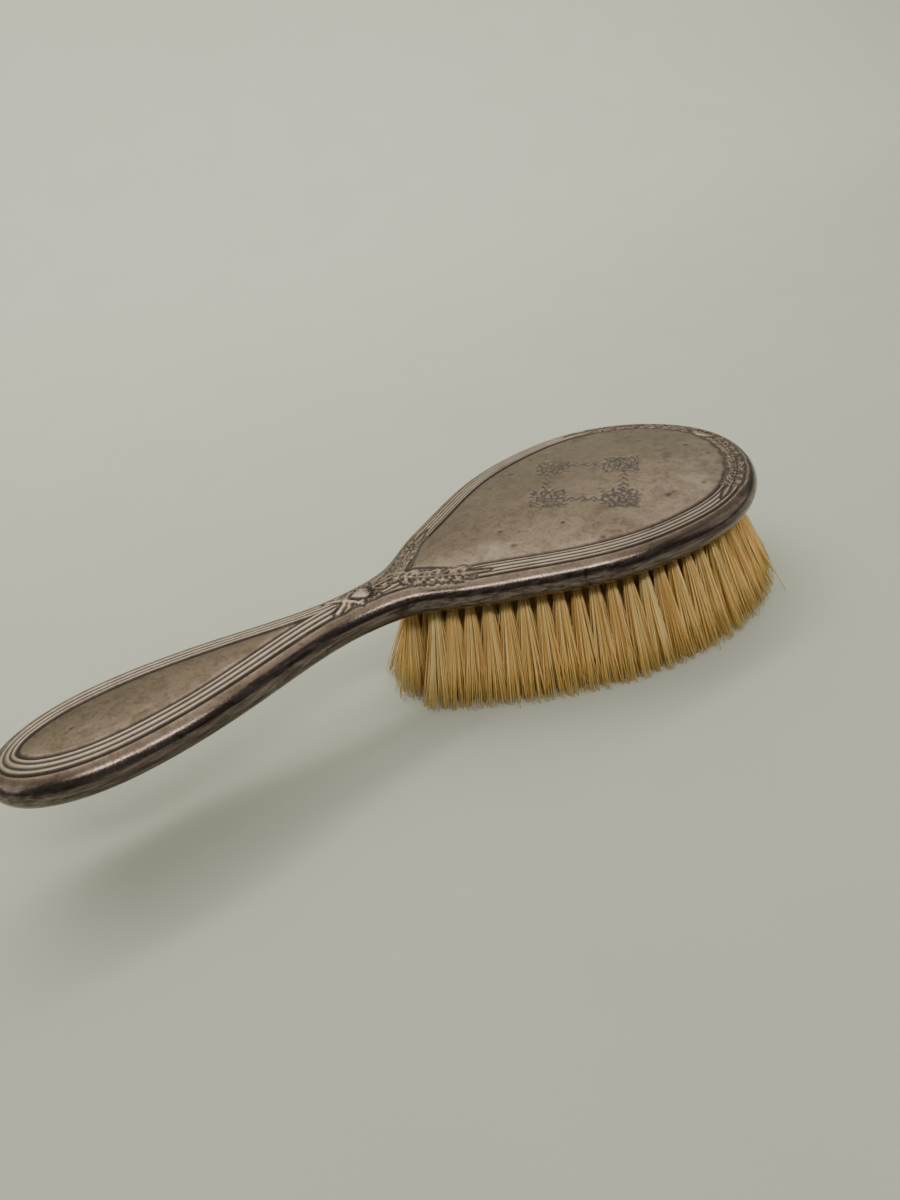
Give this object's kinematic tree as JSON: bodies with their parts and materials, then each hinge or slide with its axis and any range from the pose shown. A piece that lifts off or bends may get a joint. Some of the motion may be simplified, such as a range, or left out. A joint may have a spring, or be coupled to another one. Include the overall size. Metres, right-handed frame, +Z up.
{
  "type": "hairbrush",
  "caption": "Vanity hairbrush with a stamped metal back, reeded border and slender handle, holding a wooden board of drawn natural bristle tufts.",
  "frame": {"origin": "middle of the bounding box in X and Y, at the level of the bristle tips that the brush rests on", "axes": "+X along the brush from the handle end to the toe of the head, +Y to the left side of the head, +Z up from the bristle tips to the metal back"},
  "size_m": [0.2438, 0.0916, 0.0416],
  "materials": {
    "silver_plate": "tarnished silver plate, rubbed bright on its high places",
    "solder": "dull soft solder",
    "board_wood": "stained fruitwood, oiled",
    "veneer_wood": "sawn veneer, glued",
    "filler": "set pitch and plaster",
    "tang_steel": "plain steel strip",
    "bristle": "natural pale boar bristle",
    "wire": "drawn brass wire"
  },
  "bodies": {
    "root": {"back_shell": "silver_plate", "under_shell": "silver_plate", "solder_seam": "solder", "bristle_board": "board_wood", "cover_veneer": "veneer_wood", "head_cement": "filler", "handle_pitch": "filler", "neck_tang": "tang_steel", "tuft_row_01": "bristle", "tuft_row_02": "bristle", "tuft_row_03": "bristle", "tuft_row_04": "bristle", "tuft_row_05": "bristle", "tuft_row_06": "bristle", "tuft_row_07": "bristle", "tuft_row_08": "bristle", "tuft_row_09": "bristle", "tuft_row_10": "bristle", "tuft_row_11": "bristle", "tuft_row_12": "bristle", "tuft_row_13": "bristle", "draw_wire_01": "wire", "draw_wire_02": "wire", "draw_wire_03": "wire", "draw_wire_04": "wire", "draw_wire_05": "wire", "draw_wire_06": "wire", "draw_wire_07": "wire", "draw_wire_08": "wire", "draw_wire_09": "wire", "draw_wire_10": "wire", "draw_wire_11": "wire", "draw_wire_12": "wire", "draw_wire_13": "wire"}
  },
  "joints": []
}
